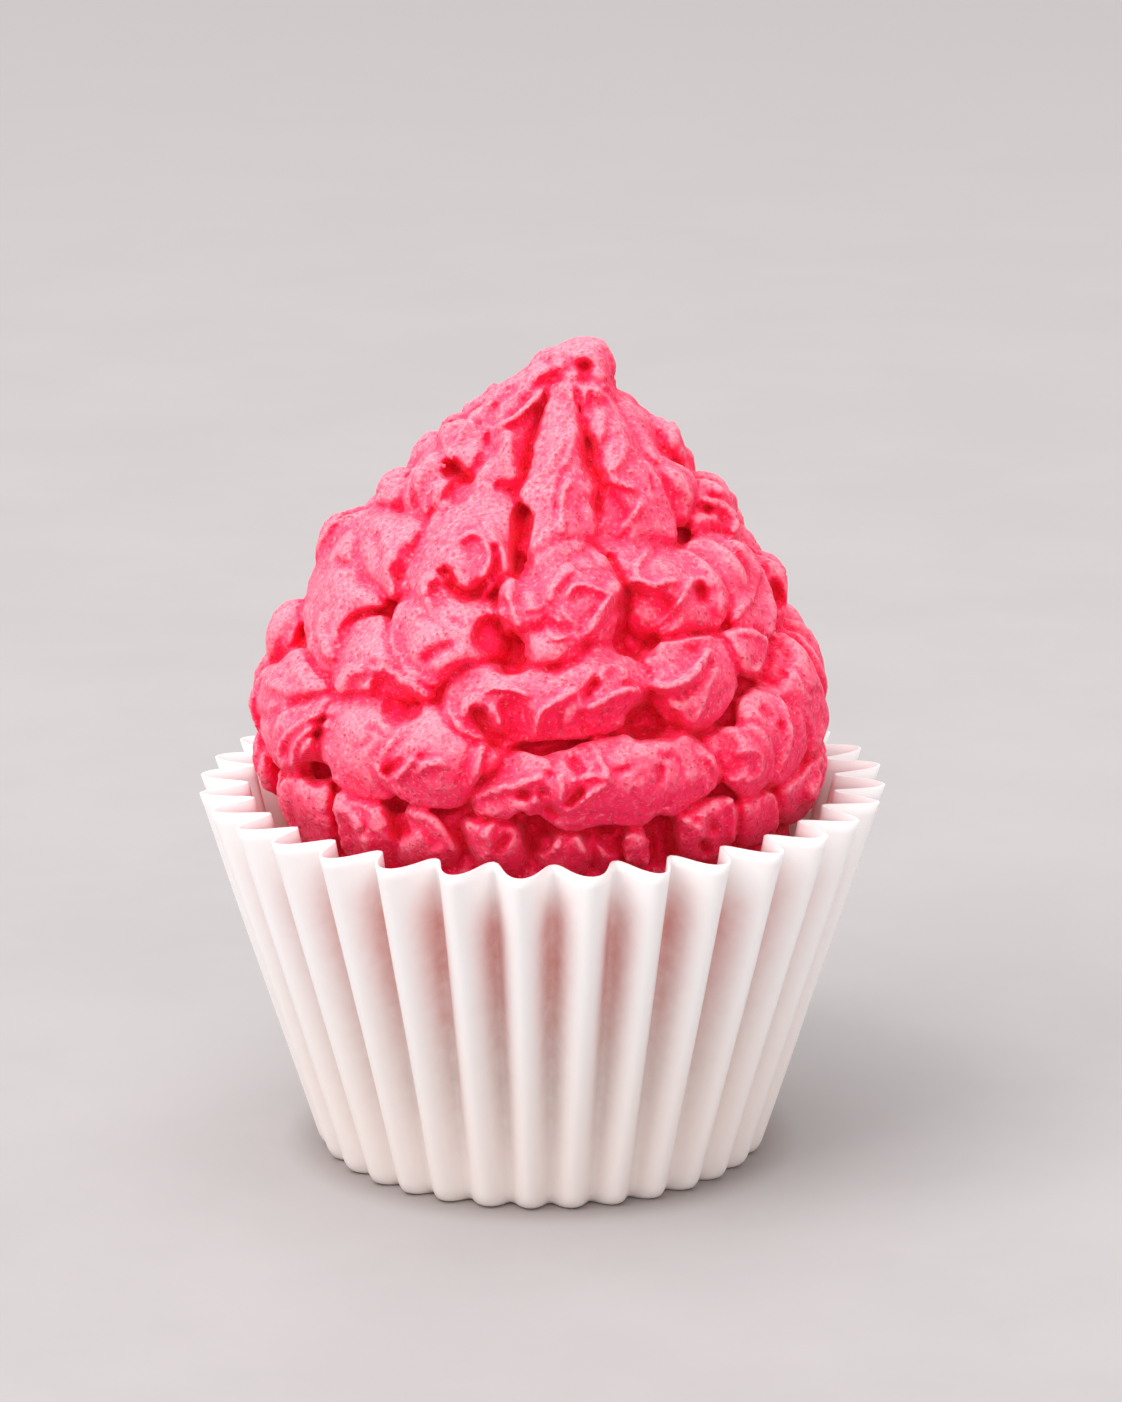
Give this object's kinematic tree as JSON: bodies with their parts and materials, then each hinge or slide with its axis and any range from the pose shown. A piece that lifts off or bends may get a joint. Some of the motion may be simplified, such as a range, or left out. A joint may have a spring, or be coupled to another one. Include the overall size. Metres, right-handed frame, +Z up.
{
  "type": "cupcake",
  "caption": "Cupcake in a pleated paper case, topped with a tall peaked pile of ridged piped icing that leans slightly at its tip.",
  "frame": {"origin": "centre of the bottom of the box round the whole cupcake, on the surface it stands on", "axes": "+Z up through the tip of the icing, -Y towards the side that the picture shows, +X to the right of that side"},
  "size_m": [0.0698, 0.0698, 0.0835],
  "materials": {
    "white_paper": "matt white baking paper, slightly see-through",
    "sponge": "matt baked sponge",
    "pink_icing": "matt to satin piped icing"
  },
  "bodies": {
    "root": {"paper_case": "white_paper", "cake": "sponge", "frosting": "pink_icing"}
  },
  "joints": []
}
